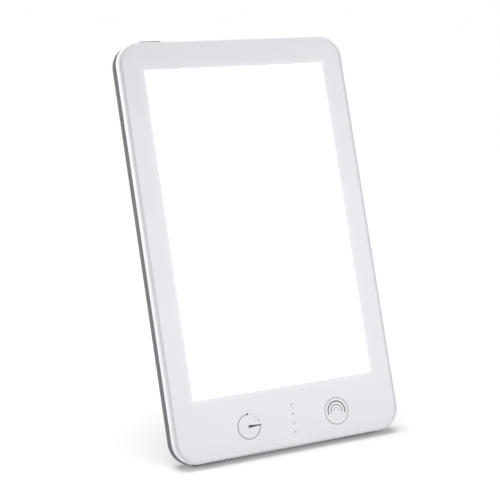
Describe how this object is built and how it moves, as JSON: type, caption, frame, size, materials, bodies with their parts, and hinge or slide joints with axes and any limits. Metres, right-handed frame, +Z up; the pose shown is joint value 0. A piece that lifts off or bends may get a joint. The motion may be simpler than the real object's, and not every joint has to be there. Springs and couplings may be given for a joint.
{
  "type": "light therapy lamp",
  "caption": "Slim edge-lit light therapy lamp: white framed opal panel with touch controls, grey rear cover, top power button and a fold-out rear leg.",
  "frame": {"origin": "on the table under the middle of the standing lamp, halfway between its foremost and rearmost points", "axes": "+Z up, +X to the right as seen by someone in front of the lit face, +Y from the lit face towards the back; the lamp leans back 18.9 degrees on its open leg"},
  "size_m": [0.1694, 0.1026, 0.2658],
  "materials": {
    "white_shell": "smooth satin white moulded plastic",
    "grey_shell": "fine-textured mid-grey moulded plastic",
    "grey_button": "satin grey moulded plastic",
    "grey_leg": "fine-textured grey moulded plastic",
    "opal_pane": "opal acrylic, lit from behind",
    "clear_film": "prism film",
    "clear_acrylic": "clear acrylic light guide",
    "white_sheet": "white reflector film",
    "aluminium_sheet": "mill-finish folded sheet",
    "white_board": "white solder mask on aluminium core",
    "green_board": "green solder mask on glass-epoxy board",
    "led_phosphor": "white package with yellow phosphor",
    "black_plastic": "moulded black epoxy",
    "grey_ferrite": "moulded ferrite powder",
    "can_aluminium": "drawn aluminium can",
    "ivory_plastic": "ivory nylon connector",
    "clear_pipe": "smoky clear light pipe",
    "grey_foam": "closed-cell foam",
    "conductive_foam": "conductive foam",
    "black_rubber": "matt silicone rubber",
    "steel": "zinc-plated steel",
    "dark_screw": "black-zinc screw",
    "bush_bronze": "sintered bronze",
    "contact_metal": "nickel-plated contact",
    "lead_jacket": "soft red and black lead jacket"
  },
  "bodies": {
    "lamp": {"front_bezel": "white_shell", "diffuser_panel": "opal_pane", "diffuser_film": "clear_film", "light_guide": "clear_acrylic", "reflector_sheet": "white_sheet", "led_strip_left": "white_board", "led_strip_right": "white_board", "leds_left": "led_phosphor", "leds_right": "led_phosphor", "back_plate": "aluminium_sheet", "panel_screws": "steel", "foam_blocks": "grey_foam", "control_board": "green_board", "control_board_screws": "steel", "controller_chip": "black_plastic", "led_driver_chips": "black_plastic", "driver_inductor": "grey_ferrite", "filter_capacitors": "can_aluminium", "lead_connectors": "ivory_plastic", "touch_pad_timer": "conductive_foam", "touch_pad_brightness": "conductive_foam", "indicator_light_pipes": "clear_pipe", "indicator_leds": "led_phosphor", "power_inlet": "black_plastic", "power_inlet_contact": "contact_metal", "switch_housing": "black_plastic", "switch_board": "green_board", "switch_board_screws": "steel", "switch_connector": "ivory_plastic", "rear_cover": "grey_shell", "base_feet": "black_rubber", "cover_screws": "dark_screw", "hinge_brackets": "steel", "hinge_pins": "steel", "friction_washers": "steel", "hinge_bracket_screws": "steel", "led_lead_left": "lead_jacket", "led_lead_right": "lead_jacket", "switch_lead": "lead_jacket"},
    "power_button": {"power_button_cap": "grey_button", "switch_plunger": "black_plastic"},
    "stand": {"stand_leg": "grey_leg", "stand_foot_pad": "black_rubber", "hinge_bushes": "bush_bronze"}
  },
  "joints": [
    {"name": "stand_hinge", "type": "hinge", "parent": "lamp", "child": "stand", "pos_m": [0, 0.0194, 0.1741], "axis": [1, 0, 0], "range_deg": [-26.5, 0]},
    {"name": "power_button_press", "type": "slide", "parent": "lamp", "child": "power_button", "axis": [0, -0.3239, -0.9461], "range_m": [0, 0.0005], "stiffness_N_per_m": 2000, "springref_m": -0.0003}
  ]
}
